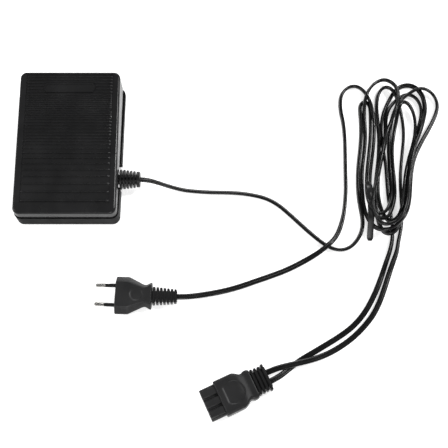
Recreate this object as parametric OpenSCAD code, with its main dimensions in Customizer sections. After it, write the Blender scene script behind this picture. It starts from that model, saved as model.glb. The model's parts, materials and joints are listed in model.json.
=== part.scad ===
// Foot control for a domestic sewing machine: a sprung treadle over a base with a
// speed control inside, its mains lead and its machine lead folded into one hank.
// Millimetres. The origin is on the floor under the middle of the pedal, +Z up,
// +Y towards the raised end of the treadle, +X towards the cord's outlet.

/* [Pedal] */
// Width of the base
pedal_w = 98.5; // [97:0.5:101]
// Length of the base from the low end to the raised end
pedal_l = 143; // [141:1:146]
// Height of the treadle's top at the low end
low_h = 29; // [28:0.5:31]
// Height of the treadle's top at the raised end
high_h = 44; // [43:0.5:46]
// Wall thickness of the two mouldings
wall = 2; // [1.8:0.1:2.2]
// Radius of the pedal's upright corners
corner_r = 7; // [5:0.5:9]

/* [Treadle] */
// Angle that the treadle tips before it meets its bumpers
travel = 6; // [3:0.5:6]
// Height of the grip ribs
rib_h = 0.8; // [0.4:0.1:1]
// Smooth border beside the rib ends
rib_border = 6.5; // [4:0.5:10]

/* [Cords and plugs] */
// Width of the flat twin cord
cord_w = 5.4; // [4.6:0.1:5.6]
// Thickness of the flat twin cord
cord_t = 3.2; // [2.8:0.1:3.2]
// Angle of the machine connector to the pedal's width
connector_turn = 25; // [20:1:30]

/* [Hidden] */
$fn = 48;

black = "#1d1d1e";
rubber_black = "#262627";
steel = "#b9bcc0";
brass = "#c9a24b";
copper = "#b5703a";
eps = 0.01;

// Levels of the base
foot_h = 2;
floor_t = 2.5;
floor_z = foot_h + floor_t;
plinth_low = foot_h + 15; // top of the plinth at the low end
plinth_high = foot_h + 4.5; // and at the raised end
heel = 1.6; // how far the base reaches out past the raised end

// The treadle's outside sits just inside the plinth's edge
ledge = 0.9;
treadle_w = pedal_w - 2 * ledge;
treadle_l = pedal_l - 2 * ledge;
half_l = treadle_l / 2;
plate_t = 2.7;
skirt_low = 18.5;
skirt_high = 20.4;
rise = (high_h - low_h) / treadle_l;
slope = atan(rise);
edge_r = 2.5;
top_corner_r = corner_r - ledge;

// The base's upright wall stands inside the treadle's skirt
upstand_gap = 0.6;
upstand_end_gap = 1.6;
upstand_w = treadle_w - 2 * (wall + upstand_gap);
upstand_l = treadle_l - 2 * (wall + upstand_end_gap);
upstand_low = 21.5;
upstand_high = 24.5;
cavity_w = upstand_w - 2 * wall;
cavity_l = upstand_l - 2 * wall;

// Hinge
hinge_y = -58;
hinge_z = 14;
rod_r = 2;
rod_l = 83;
ear_x = [27, 39];
ear_t = 3;
ear_r = 5;
lug_x = 33;
lug_t = 6;

// Circuit board
board = [64, 78, 1.6];
board_at = [-6, -7, floor_z + 2];
board_top = board_at[2] + board[2];
board_screw_in = 4;

// Speed slider: a plunger under the treadle's finger
slider_at = [5, 5];
guide_floor = board_top + 1;
guide_top = 21.1;
guide_size = [18, 16];
plunger_r = 4.5;
plunger_bore_r = 2.9;
plunger_top = 28.3;
boss_h = 2.5;
plunger_low = 16.3;
wiper_z = 17.5;
wiper_w = 3;
track_t = 1.4;

// Return springs and bumpers
spring_at = [30, 45];
spring_r = 4.4;
spring_wire = 1.2;
spring_seat = 35.2;
stop_at = [18, 59];
stop_r = 4;

// Cord outlet through the right-hand wall
outlet = [pedal_w / 2 + 0.15, -29.3, 12];
neck_r = 4.8;
relief_pitch = 3.2;
relief_ribs = 5;
relief_l = 18.6;

// Mains plug: the standard flat two-pin plug
plug_at = [49, -142.8, 7];
plug_turn = -1.6;
pin_r = 2;
pin_core_r = 1.4;
sleeve_r = 1.75;
pin_root = 3.9;
pin_spacing = 18.6;
pin_reach = 19;
pin_bare = 9;
pin_tilt = 1.35;
plug_t = 13.7;
plug_w = 35.4;
plug_relief_from = 33.5;
plug_relief_to = 56.6;

// Machine connector: three sockets in a row
connector_at = [132.6, -243.7, 8];
nose_l = 13.9;
nose_w = 29.5;
nose_t = 13;
connector_w = 32.6;
connector_t = 16;
connector_waist = 41.5;
connector_l = 61.2;
socket_spacing = 9.2;
socket_r = 1.25;
contact_r = 1.8;
contact_l = 12;
entry_offset = 4.2;

// The hank of folded cord
hank_h = 16;

// Routes of the cords, along the middle of the cord
pedal_lead_route = [
    [47, -29.3, 12], [58, -29.3, 12], [69, -29.3, 12], [78, -30, 10.8], [88, -32, 7.6],
    [99, -34.4, 4.2], [111, -36.6, 2.2], [124, -38, 1.6], [138, -38.8, 1.6], [152, -39, 1.6],
    [166, -40, 1.6], [178, -42, 1.6], [190, -45.5, 1.6], [201, -52, 1.6], [212, -62, 1.6],
    [223, -73, 1.6], [234, -83.5, 1.6], [245, -92.5, 1.6], [256, -97.5, 1.6], [267, -95.5, 1.6],
    [275, -88, 1.6], [280.5, -77, 1.6]
];
mains_lead_route = [
    [104, -144.4, 7], [115, -143.9, 6], [126, -142, 3.4], [138, -139.6, 1.8], [151, -136.8, 1.6],
    [165, -132.7, 1.6], [179, -127.7, 1.6], [193, -122.7, 1.6], [207, -117.2, 1.6],
    [220, -110.7, 1.8], [231, -104.6, 3.2], [241, -98.5, 5], [249, -92, 5.4],
    [255.5, -84, 4.2], [260, -74, 2.4], [263.5, -62, 1.6], [265.5, -50, 1.6], [267, -36, 1.6],
    [267.5, -22, 1.6], [268, -8, 1.6], [268.5, 6, 1.6], [268.8, 22, 1.6]
];
lower_tail_route = [
    [309, -84, 1.6], [306, -97, 1.6], [301, -110, 1.6], [296.5, -122, 1.6], [291.5, -134, 1.6],
    [285, -147, 1.6], [277, -159.5, 1.6], [267, -170.5, 1.6], [255, -179.5, 1.6],
    [242, -187.5, 1.6], [229, -195.2, 1.6], [218, -201.6, 1.8], [208, -209, 3], [199.5, -216, 5.6],
    [188.4, -222.4, 8]
];
upper_tail_route = [
    [314.5, -88, 1.6], [312, -99, 1.6], [307.5, -110, 1.6], [302.8, -122, 1.6],
    [298.3, -134, 1.6], [293, -147, 1.6], [285.5, -160.5, 1.6], [275.5, -172.5, 1.6],
    [264.5, -182.5, 1.6], [252, -191, 1.6], [240, -197.2, 2.2], [228, -201.8, 4.2],
    [216, -205, 5.6], [205, -207.8, 7], [196, -210.2, 7.8], [184.8, -214.8, 8]
];

// ---- Helpers ----

function unit(v) = v / norm(v);
function top_z(y) = low_h + rise * (y + half_l);
function under_z(y) = top_z(y) - plate_t;

// Height of a point that was at [y, z] once the treadle is fully down
function pressed_z(y, z) = hinge_z - (y - hinge_y) * sin(travel) + (z - hinge_z) * cos(travel);

// Heading of a route at point i
function heading(p, i) = unit(p[min(i + 1, len(p) - 1)] - p[max(i - 1, 0)]);

// Ring of an oval section, flat side down, across the heading d
function oval_ring(c, d, w, t, sides) =
    let (across = unit(cross([0, 0, 1], d)), up = cross(d, across))
    [for (k = [0:sides - 1])
        c + across * (w / 2) * cos(k * 360 / sides) + up * (t / 2) * sin(k * 360 / sides)];

module oval_tube(p, w, t, sides = 8) {
    n = len(p);
    points = [for (i = [0:n - 1]) each oval_ring(p[i], heading(p, i), w, t, sides)];
    walls = [for (i = [0:n - 2]) for (k = [0:sides - 1])
        let (here = i * sides, there = here + sides, next = (k + 1) % sides)
        each [[here + k, there + k, there + next], [here + k, there + next, here + next]]];
    first = [for (k = [0:sides - 1]) k];
    last = [for (k = [0:sides - 1]) n * sides - 1 - k];
    polyhedron(points, concat([first, last], walls));
}

// Coil spring standing on z = 0
module coil_spring(r, wire, length, turns, steps = 14) {
    rise_each = (length - wire) / (turns * steps);
    path = [for (i = [0:turns * steps])
        [r * cos(i * 360 / steps), r * sin(i * 360 / steps), wire / 2 + i * rise_each]];
    oval_tube(path, wire, wire, 6);
}

module rounded_rect(w, l, r) {
    square([w - 2 * r, l], center = true);
    square([w, l - 2 * r], center = true);
    for (x = [-1, 1], y = [-1, 1])
        translate([x * (w / 2 - r), y * (l / 2 - r)]) circle(r);
}

// Flat oval with straight sides, w wide and t thick
module stadium(w, t) {
    square([w - t, t], center = true);
    for (x = [-1, 1])
        translate([x * (w - t) / 2, 0]) circle(t / 2);
}

// Extrudes an outline drawn in Y and Z along X, centred
module along_x(length) {
    rotate([90, 0, 90]) linear_extrude(length, center = true) children();
}

// Extrudes an outline drawn in X and Z along Y, centred
module along_y(length) {
    rotate([90, 0, 0]) linear_extrude(length, center = true) children();
}

module rod_x(r, length) {
    rotate([0, 90, 0]) cylinder(r = r, h = length, center = true);
}

// Pan-head screw hanging down from z = 0 under its head
module screw(head_r, head_h, shank_r, shank_l) {
    difference() {
        union() {
            cylinder(r = head_r, h = head_h);
            translate([0, 0, -shank_l]) cylinder(r = shank_r, h = shank_l + eps);
        }
        translate([0, 0, head_h]) cube([head_r * 1.3, head_r / 3, head_h], center = true);
        translate([0, 0, head_h]) cube([head_r / 3, head_r * 1.3, head_h], center = true);
    }
}

// Places its children on the sloping top face, or drop below it, at x and y
module on_slope(x, y, drop = 0) {
    translate([x, y, top_z(y) - drop]) rotate([slope, 0, 0]) children();
}

// ---- Base ----

// The side view of the upright wall
module upstand_side() {
    polygon([
        [-upstand_l / 2, foot_h], [upstand_l / 2, foot_h],
        [upstand_l / 2, upstand_high], [-upstand_l / 2, upstand_low]
    ]);
}

// The side view of the plinth, whose top falls towards the raised end and its heel lip
module plinth_side() {
    polygon([
        [-pedal_l / 2, foot_h], [pedal_l / 2 + heel, foot_h], [pedal_l / 2 + heel, plinth_high],
        [pedal_l / 2, plinth_high], [-pedal_l / 2, plinth_low]
    ]);
}

module plinth() {
    intersection() {
        translate([0, heel / 2, 0]) linear_extrude(plinth_low + 1)
            rounded_rect(pedal_w, pedal_l + heel, corner_r);
        along_x(pedal_w) plinth_side();
    }
}

module upstand() {
    intersection() {
        linear_extrude(upstand_high) rounded_rect(upstand_w, upstand_l, corner_r - 3);
        along_x(upstand_w) upstand_side();
    }
}

module hinge_ear(x) {
    translate([x, hinge_y, 0]) along_x(ear_t) difference() {
        union() {
            translate([0, hinge_z]) circle(ear_r);
            translate([-ear_r, floor_z - eps]) square([2 * ear_r, hinge_z - floor_z]);
        }
        translate([0, hinge_z]) circle(rod_r + 0.02);
    }
}

module floor_post(x, y, r, top, hole_r) {
    translate([x, y, floor_z - eps]) difference() {
        cylinder(r = r, h = top - floor_z + eps);
        translate([0, 0, 1]) cylinder(r = hole_r, h = top);
    }
}

// The block under the cord clamp
module clamp_saddle() {
    translate([34, outlet[1], floor_z - eps]) difference() {
        translate([-3, -10, 0]) cube([6, 20, outlet[2] - cord_t / 2 - floor_z + eps]);
        for (y = [-7, 7])
            translate([0, y, 1]) cylinder(r = 1.25, h = 20);
    }
}

// The slot that the strain relief's neck drops into
module outlet_slot() {
    translate([outlet[0] - 6, outlet[1], outlet[2]]) {
        rod_x(neck_r + 0.2, 8);
        translate([-4, -neck_r - 0.2, 0]) cube([8, 2 * neck_r + 0.4, 20]);
    }
}

// The gap in the plinth's edge beside the outlet
module plinth_notch() {
    notch_from = outlet[1] - 9.2;
    notch_to = outlet[1] + 17.3;
    translate([upstand_w / 2, notch_from, 0]) cube([10, notch_to - notch_from, plinth_low + 1]);
}

// The window that the treadle's hook rides in
module hook_window() {
    translate([-10, upstand_l / 2 - 4, plinth_high]) cube([20, 8, 17]);
}

module foot_places() {
    for (x = [-1, 1], y = [-1, 1])
        translate([x * (pedal_w / 2 - 13), y * (pedal_l / 2 - 14), 0]) children();
}

module board_corners() {
    for (x = [-1, 1], y = [-1, 1])
        translate([
            board_at[0] + x * (board[0] / 2 - board_screw_in),
            board_at[1] + y * (board[1] / 2 - board_screw_in), 0
        ]) children();
}

module base_tray() {
    color(black) {
        difference() {
            union() {
                plinth();
                upstand();
            }
            translate([0, 0, floor_z]) linear_extrude(upstand_high)
                rounded_rect(cavity_w, cavity_l, corner_r - 5);
            outlet_slot();
            plinth_notch();
            hook_window();
            foot_places() cylinder(r = 5, h = foot_h + 1);
        }
        for (side = [-1, 1], x = ear_x)
            hinge_ear(side * x);
        board_corners() floor_post(0, 0, 3.4, board_at[2], 1.2);
        for (side = [-1, 1]) {
            floor_post(side * spring_at[0], spring_at[1], 2.6, floor_z + 4, 1);
            floor_post(side * stop_at[0], stop_at[1], stop_r, stop_top() - 3.4, 1.5);
        }
        clamp_saddle();
    }
}

module rubber_feet() {
    color(rubber_black) foot_places() {
        cylinder(r = 6, h = foot_h);
        cylinder(r = 4.9, h = foot_h + 0.9);
    }
}

module hinge_rod() {
    color(steel) translate([0, hinge_y, hinge_z]) rod_x(rod_r, rod_l);
}

module hinge_clips() {
    color(steel) for (side = [-1, 1])
        translate([side * (ear_x[1] + ear_t / 2 + 0.5), hinge_y, hinge_z]) difference() {
            rod_x(3.6, 0.8);
            rod_x(rod_r + 0.01, 2);
        }
}

// ---- Speed control ----

module circuit_board() {
    color("#3f6a3c") difference() {
        translate([board_at[0] - board[0] / 2, board_at[1] - board[1] / 2, board_at[2]]) cube(board);
        board_corners() cylinder(r = 1.6, h = 20);
    }
}

module board_screws() {
    color(steel) board_corners() translate([0, 0, board_top]) screw(2.8, 1.8, 1.15, 2.4);
}

sink_at = [-17, -36];
sink = [28, 1.5, 14.5];
triac_screw_z = 19.6;

module heat_sink() {
    color("#c3c6c8") difference() {
        translate([sink_at[0], sink_at[1], board_top]) {
            translate([-sink[0] / 2, -sink[1] / 2, 0]) cube(sink);
            for (side = [-1, 1])
                translate([side * (sink[0] - sink[1]) / 2 - sink[1] / 2, -6, 0]) cube([sink[1], 6, sink[2]]);
        }
        translate([sink_at[0], sink_at[1], triac_screw_z]) rotate([90, 0, 0])
            cylinder(r = 1.5, h = 8, center = true);
    }
}

module triac() {
    face_y = sink_at[1] + sink[1] / 2;
    color("#2b2b2d") difference() {
        union() {
            translate([sink_at[0] - 5, face_y, board_top + 2.4]) cube([10, 4.4, 6.6]);
            translate([sink_at[0] - 5, face_y, board_top + 2.4]) cube([10, 1.3, 12]);
            for (x = [-2.54, 0, 2.54])
                translate([sink_at[0] + x - 0.4, face_y + 2, board_top]) cube([0.8, 0.5, 3]);
        }
        translate([sink_at[0], face_y, triac_screw_z]) rotate([90, 0, 0])
            cylinder(r = 1.7, h = 8, center = true);
    }
}

module triac_screw() {
    face_y = sink_at[1] + sink[1] / 2 + 1.3;
    color(steel) translate([sink_at[0], face_y, triac_screw_z]) rotate([-90, 0, 0])
        screw(2.3, 1.8, 1.4, 4.6);
}

module capacitor() {
    color("#c9b13c") translate([-20, 19, board_top]) difference() {
        translate([-9, -4, 0]) cube([18, 8, 14]);
        for (side = [-1, 1])
            translate([side * 9, 0, 14]) rotate([0, 45, 0]) cube([1, 9, 1], center = true);
    }
}

choke_at = [-25, -9];

module choke_core() {
    color("#3a3a3d") translate([choke_at[0], choke_at[1], board_top]) {
        cylinder(r = 8, h = 1.5);
        cylinder(r = 3.5, h = 12);
        translate([0, 0, 10.5]) cylinder(r = 8, h = 1.5);
    }
}

module choke_winding() {
    color(copper) translate([choke_at[0], choke_at[1], board_top + 1.6]) difference() {
        union() {
            cylinder(r = 6.8, h = 8.8);
            for (i = [0:8])
                translate([0, 0, 0.4 + i]) rotate_extrude() translate([6.6, 0]) circle(0.45);
        }
        translate([0, 0, -1]) cylinder(r = 3.55, h = 12);
    }
}

// An axial part lying above the board on its two bent leads
module axial_part(body_r, body_l, reach) {
    lift = body_r + 0.4;
    translate([0, 0, lift]) {
        rod_x(body_r, body_l);
        rod_x(0.3, 2 * reach);
    }
    for (side = [-1, 1])
        translate([side * (reach - 0.3), 0, 0]) cylinder(r = 0.3, h = lift);
}

module resistors() {
    color("#c8a878") for (i = [0:2])
        translate([20, -14 + 5 * i, board_top]) axial_part(1.2, 6, 4.6);
}

module timing_capacitor() {
    color("#8c2f24") translate([-2, 24, board_top]) {
        translate([-3.5, -2, 0.5]) cube([7, 4, 7.5]);
        for (x = [-2.5, 2.5])
            translate([x, 0, 0]) cylinder(r = 0.3, h = 1);
    }
}

module diac() {
    color("#2f5fa8") translate([9, 24, board_top]) axial_part(1, 3.6, 3.4);
}

module trimmer() {
    color("#2d5c9c") translate([18, 12, board_top]) difference() {
        translate([-3.5, -3.5, 0]) cube([7, 7, 4.5]);
        translate([0, 0, 2.5]) cylinder(r = 2.4, h = 4);
    }
}

module trimmer_rotor() {
    color("#d8d8d4") translate([18, 12, board_top + 2.5]) difference() {
        cylinder(r = 2.3, h = 1.8);
        translate([0, 0, 2]) cube([3.4, 0.7, 1.6], center = true);
    }
}

module slider_guide() {
    color("#33363a") translate([slider_at[0], slider_at[1], 0]) difference() {
        translate([-guide_size[0] / 2, -guide_size[1] / 2, board_top])
            cube([guide_size[0], guide_size[1], guide_top - board_top]);
        translate([0, 0, guide_floor]) cylinder(r = plunger_r + 0.25, h = 20);
        translate([-guide_size[0] / 2 - 1, -wiper_w / 2 - 0.6, guide_floor + 1])
            cube([guide_size[0] / 2, wiper_w + 1.2, wiper_z - guide_floor]);
    }
}

module resistance_track() {
    track_x = slider_at[0] - guide_size[0] / 2 - track_t - 0.02;
    color("#e4e2da") translate([track_x, slider_at[1] - 6, board_top])
        cube([track_t, 12, guide_top - board_top]);
}

module terminal_block() {
    color("#5a6f5e") translate([17, outlet[1], board_top]) difference() {
        translate([-5, -6, 0]) cube([10, 12, 10]);
        for (y = [-2.5, 2.5])
            translate([0, y, 0]) {
                translate([4, 0, outlet[2] - board_top]) rod_x(1.3, 8);
                translate([0, 0, 6.4]) cylinder(r = 2, h = 10);
            }
    }
}

module terminal_screws() {
    color(steel) for (y = [-2.5, 2.5])
        translate([17, outlet[1] + y, board_top + 6.5]) difference() {
            cylinder(r = 1.85, h = 2.6);
            translate([0, 0, 2.8]) cube([5, 0.7, 1.6], center = true);
        }
}

module cord_clamp() {
    bar_z = outlet[2] - cord_t / 2 + 0.05;
    color(black) translate([34, outlet[1], bar_z]) difference() {
        translate([-3, -10, 0]) cube([6, 20, 5.6]);
        translate([-4, -cord_w / 2 - 0.1, -1]) cube([8, cord_w + 0.2, cord_t + 1.02]);
        for (y = [-7, 7])
            translate([0, y, -1]) cylinder(r = 1.6, h = 8);
    }
}

module clamp_screws() {
    color(steel) for (y = [-7, 7])
        translate([34, outlet[1] + y, outlet[2] - cord_t / 2 + 5.65]) screw(2.6, 1.8, 1.2, 10);
}

// Ribbed strain relief, its inner flange inside the wall and its ribs outside
module strain_relief() {
    color(rubber_black) translate(outlet) difference() {
        union() {
            translate([-7.2, 0, 0]) rod_x(6.5, 1.4);
            translate([relief_l / 2 - 4, 0, 0]) rod_x(neck_r, relief_l + 8);
            for (i = [0:relief_ribs - 1])
                translate([i * relief_pitch + 0.4, 0, 0]) rod_x(9.8 - i * 0.4, 1.9);
            translate([relief_l - 1.6, 0, 0]) rod_x(7.8, 3.2);
        }
        along_x(80) stadium(cord_w + 0.5, cord_t + 0.5);
    }
}

module cord_inside() {
    color(black) translate([38, outlet[1], outlet[2]]) along_x(17.9) stadium(cord_w, cord_t);
}

module cord_cores() {
    for (side = [-1, 1])
        color(side > 0 ? "#6b4a2c" : "#3a6ea8") oval_tube([
            [29, outlet[1] + side * 1.3, outlet[2]], [27.5, outlet[1] + side * 1.4, outlet[2]],
            [25.5, outlet[1] + side * 2, outlet[2]], [23.5, outlet[1] + side * 2.4, outlet[2]],
            [22, outlet[1] + side * 2.5, outlet[2]], [17.6, outlet[1] + side * 2.5, outlet[2]]
        ], 2, 2, 12);
}

// ---- Springs and stops ----

module return_springs() {
    color(steel) for (side = [-1, 1])
        translate([side * spring_at[0], spring_at[1], floor_z])
            coil_spring(spring_r, spring_wire, spring_seat - floor_z - 0.6, 8);
}

module plunger_spring() {
    color(steel) translate([slider_at[0], slider_at[1], guide_floor])
        coil_spring(2.2, 0.6, plunger_top - 2.5 - guide_floor, 9, 12);
}

function stop_top() = pressed_z(stop_at[1], under_z(stop_at[1])) - 0.5;

module travel_stops() {
    color(rubber_black) for (side = [-1, 1])
        translate([side * stop_at[0], stop_at[1], stop_top() - 3.4]) {
            cylinder(r = stop_r, h = 3.4);
            translate([0, 0, -4]) cylinder(r = 1.4, h = 4 + eps);
        }
}

// ---- Treadle ----

// The treadle's outer form, its top edges and upright corners all rounded
module treadle_form() {
    x = treadle_w / 2 - top_corner_r;
    y = treadle_l / 2 - top_corner_r;
    r = edge_r;
    intersection() {
        along_x(treadle_w) polygon([
            [-half_l, skirt_low], [half_l, skirt_high], [half_l, 2 * high_h], [-half_l, 2 * high_h]
        ]);
        hull() for (sx = [-1, 1], sy = [-1, 1])
            translate([sx * x, sy * y, top_z(sy * y)])
                multmatrix([[1, 0, 0, 0], [0, 1, 0, 0], [0, rise, 1, 0]])
                    rotate_extrude() polygon(concat(
                        [[0, 0], [0, -high_h], [top_corner_r, -high_h]],
                        [for (a = [0:15:90]) [top_corner_r - r + r * cos(a), r * sin(a) - r]]
                    ));
    }
}

// Side view of the hollow inside the treadle, open below
module hollow_side() {
    r = edge_r;
    end = half_l - wall;
    function corner(side, a) = [
        side * (end - r + r * sin(a)),
        top_z(side * end) - plate_t - r + r * cos(a)
    ];
    polygon(concat(
        [[-end, -5], [end, -5]],
        [for (a = [90:-15:0]) corner(1, a)],
        [for (a = [0:15:90]) corner(-1, a)]
    ));
}

module treadle_hollow() {
    w = treadle_w / 2 - wall;
    r = edge_r;
    intersection() {
        linear_extrude(high_h + 5) rounded_rect(2 * w, treadle_l - 2 * wall, top_corner_r - wall);
        along_x(treadle_w) hollow_side();
        on_slope(0, 0, plate_t) along_y(2 * treadle_l) polygon(concat(
            [[-w, -2 * high_h], [w, -2 * high_h]],
            [for (a = [90:-15:0]) [w - r + r * sin(a), r * cos(a) - r]],
            [for (a = [0:15:90]) [-w + r - r * sin(a), r * cos(a) - r]]
        ));
    }
}

// Grip ribs, counted from the raised end: coarse, fine, coarse, then ever wider apart
coarse = 3.2;
fine = 2.2;
widening = 4.1;
growth = 1.1;
rib_steps = concat(
    [for (i = [1:6]) coarse], [for (i = [1:11]) fine],
    [for (i = [1:8]) coarse], [for (i = [0:8]) widening * pow(growth, i)]
);
function sum_of(v, n) = n == 0 ? 0 : v[n - 1] + sum_of(v, n - 1);
rib_from_end = 5;
rib_at = [for (i = [0:len(rib_steps)]) half_l / cos(slope) - rib_from_end - sum_of(rib_steps, i)];
rib_field_l = rib_at[0] - rib_at[len(rib_steps)] + 4;
rib_field_mid = (rib_at[0] + rib_at[len(rib_steps)]) / 2;

module rib_field() {
    on_slope(0, 0) translate([0, rib_field_mid, 0])
        cube([treadle_w - 2 * rib_border, rib_field_l, 2 * rib_h], center = true);
}

// Round-crested ribs whose ends ramp down to the border
module ribs() {
    foot = 0.75;
    shoulder = 0.55;
    crest = 0.25;
    root = -rib_h - 0.2;
    reach = treadle_w / 2 - rib_border - 0.2;
    ramp = 2.2;
    on_slope(0, 0) intersection() {
        along_x(2 * reach) for (y = rib_at)
            polygon([
                [y - foot, root], [y + foot, root], [y + shoulder, -0.25],
                [y + crest, 0], [y - crest, 0], [y - shoulder, -0.25]
            ]);
        along_y(2 * treadle_l) polygon([
            [-reach, root - 1], [reach, root - 1], [reach, -rib_h], [reach - ramp, eps],
            [ramp - reach, eps], [-reach, -rib_h]
        ]);
    }
}

// A plain raised panel with arrow ends, in place of a name
badge_y = 54;
badge = [50, 9.6];

module badge_outline(grow) {
    x = badge[0] / 2 + grow;
    y = badge[1] / 2 + grow;
    polygon([[-x, 0], [-x + y / 2, -y], [x - y / 2, -y], [x, 0], [x - y / 2, y], [-x + y / 2, y]]);
}

module badge_panel() {
    on_slope(0, badge_y) difference() {
        translate([0, 0, -rib_h - 0.2]) linear_extrude(rib_h + 0.5) badge_outline(0);
        translate([0, 0, -0.1]) linear_extrude(1) badge_outline(-1.2);
    }
}

module hinge_lug(x) {
    top = under_z(hinge_y) + 0.5;
    translate([x, hinge_y, 0]) along_x(lug_t) difference() {
        union() {
            translate([0, hinge_z]) circle(4.4);
            translate([-4.4, hinge_z]) square([8.8, top - hinge_z]);
        }
        translate([0, hinge_z]) circle(rod_r + 0.06);
    }
}

module finger_bosses(r, h) {
    for (x = [-11, 11])
        on_slope(slider_at[0] + x, slider_at[1], plate_t + boss_h) cylinder(r = r, h = h);
}

// Room for the strain relief in the treadle's skirt, over its whole travel
module relief_notch() {
    translate([treadle_w / 2, outlet[1], outlet[2] + 1.4]) {
        rod_x(7.4, 8);
        translate([-4, -7.4, -20]) cube([8, 14.8, 20]);
    }
}

// Catches under the window's edge and stops the springs lifting the treadle
module hook() {
    translate([-7, half_l - wall - 2.2, skirt_high + 0.6]) cube([14, 2.2 + eps, 2.4]);
}

module treadle_cover() {
    color(black) {
        difference() {
            treadle_form();
            treadle_hollow();
            rib_field();
            relief_notch();
        }
        difference() {
            ribs();
            on_slope(0, badge_y) linear_extrude(4, center = true) badge_outline(0.4);
        }
        badge_panel();
        for (side = [-1, 1])
            hinge_lug(side * lug_x);
        hook();
        difference() {
            finger_bosses(3, boss_h + 0.3);
            finger_bosses(1.1, boss_h);
        }
    }
}

module actuator_finger() {
    nose_r = 3.15;
    nose_low = top_z(slider_at[1]) - plate_t - plunger_top - 0.25;
    color("#d9d8d2") difference() {
        on_slope(slider_at[0], slider_at[1], plate_t + boss_h) {
            translate([-15, -5, -1.8]) cube([30, 10, 1.8]);
            difference() {
                translate([0, 0, boss_h + nose_r - nose_low]) rod_x(nose_r, 8);
                translate([-10, -10, -0.5]) cube(20);
            }
        }
        for (x = [-11, 11])
            on_slope(slider_at[0] + x, slider_at[1], plate_t + boss_h) cylinder(r = 1.4, h = 8, center = true);
    }
}

module actuator_screws() {
    color(steel) for (x = [-11, 11])
        on_slope(slider_at[0] + x, slider_at[1], plate_t + boss_h) translate([0, 0, -1.82])
            rotate([180, 0, 0]) screw(2.4, 1.5, 1.05, 3.8);
}

module spring_cups() {
    color("#d9d8d2") for (side = [-1, 1])
        on_slope(side * spring_at[0], spring_at[1], plate_t) translate([0, 0, -3]) {
            cylinder(r = 6.4, h = 3);
            translate([0, 0, -2.5]) cylinder(r = 3, h = 3);
        }
}

// ---- Plunger ----

module slider_plunger() {
    color("#d9d8d2") translate([slider_at[0], slider_at[1], plunger_low]) difference() {
        cylinder(r = plunger_r, h = plunger_top - plunger_low);
        translate([0, 0, -1]) cylinder(r = plunger_bore_r, h = plunger_top - plunger_low - 1);
        translate([-plunger_r - 1, -wiper_w / 2 - 0.05, wiper_z - plunger_low - 0.05])
            cube([2, wiper_w + 0.1, 0.6]);
    }
}

module wiper_contact() {
    reach = guide_size[0] / 2 - plunger_r + 0.9;
    color(brass) translate([slider_at[0] - plunger_r + 1 - reach, slider_at[1] - wiper_w / 2, wiper_z])
        cube([reach, wiper_w, 0.5]);
}

// ---- Cords ----

module pedal_cord_lead() {
    color(black) oval_tube(pedal_lead_route, cord_w, cord_t);
}

module mains_cord_lead() {
    color(black) oval_tube(mains_lead_route, cord_w, cord_t);
}

module lower_cord_tail() {
    color(black) oval_tube(lower_tail_route, cord_w, cord_t);
}

module upper_cord_tail() {
    color(black) oval_tube(upper_tail_route, cord_w, cord_t);
}

module cord_hank() {
    color(black) linear_extrude(hank_h) hull() {
        translate([285, 63]) circle(20, $fn = 32);
        translate([345, 54]) circle(20, $fn = 32);
        translate([305, -62]) circle(26, $fn = 32);
    }
}

module hank_tie() {
    color(rubber_black) translate([288, -39, hank_h]) linear_extrude(1.2) {
        translate([-3, -46]) square([6, 46]);
        translate([0, -46]) circle(3);
    }
}

// ---- Mains plug, drawn with its face at x = 0 and its pins towards -X ----

module at_plug() {
    translate(plug_at) rotate([0, 0, plug_turn]) children();
}

module plug_outline() {
    side = [[0, plug_w / 2], [12, plug_w / 2], [25.5, 10.5], [28, 10.2], [32.5, 12.9], [33.5, 12.7]];
    polygon(concat(side, [for (i = [len(side) - 1:-1:0]) [side[i][0], -side[i][1]]]));
}

module plug_section() {
    flat = plug_t / 2;
    x = plug_w / 2;
    polygon([[-x, -1], [-x + 6, -flat], [x - 6, -flat], [x, -1], [x, 1], [x - 6, flat], [-x + 6, flat], [-x, 1]]);
}

module plug_body() {
    color(black) at_plug() difference() {
        intersection() {
            linear_extrude(plug_t, center = true) plug_outline();
            along_x(120) plug_section();
        }
        for (side = [-1, 1])
            pin_place(side) translate([0.5, 0, 0]) rod_x(sleeve_r + 0.05, 7);
        translate([19.3, 0, plug_t / 2]) cylinder(r = 6.4, h = 0.8, center = true);
    }
}

// A pin's own axis: they lean towards each other at the tips
module pin_place(side) {
    translate([0, side * pin_spacing / 2, 0]) rotate([0, 0, side * pin_tilt]) children();
}

module plug_pins() {
    color(steel) at_plug() for (side = [-1, 1])
        pin_place(side) {
            translate([-pin_reach, 0, 0]) rotate([0, 90, 0]) cylinder(r1 = 1.2, r2 = pin_r, h = 1.2);
            translate([-pin_reach + 1.2, 0, 0]) rotate([0, 90, 0]) cylinder(r = pin_r, h = pin_bare - 1.2);
            translate([-pin_reach + pin_bare - eps, 0, 0]) rotate([0, 90, 0])
                cylinder(r = pin_core_r, h = pin_reach - pin_bare + pin_root);
        }
}

module pin_sleeves() {
    color(black) at_plug() for (side = [-1, 1])
        pin_place(side) difference() {
            translate([-pin_reach + pin_bare, 0, 0]) rotate([0, 90, 0])
                cylinder(r = sleeve_r, h = pin_reach - pin_bare + pin_root);
            translate([-pin_reach, 0, 0]) rotate([0, 90, 0]) cylinder(r = pin_core_r, h = pin_reach + 8);
        }
}

module plug_relief() {
    ribs = 7;
    length = plug_relief_to - plug_relief_from;
    pitch = length / ribs;
    color(rubber_black) at_plug() translate([plug_relief_from, 0, 0]) difference() {
        union() {
            translate([length / 2, 0, 0]) along_x(length) square([8.5, 5.6], center = true);
            for (i = [0:ribs - 1])
                translate([pitch * (i + 0.65), 0, 0]) along_x(pitch * 0.7)
                    square([16 - i * 0.5, 9.4 - i * 0.25], center = true);
        }
        translate([length - 1.4, 0, 0]) along_x(4) stadium(cord_w + 0.5, cord_t + 0.5);
    }
}

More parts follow.
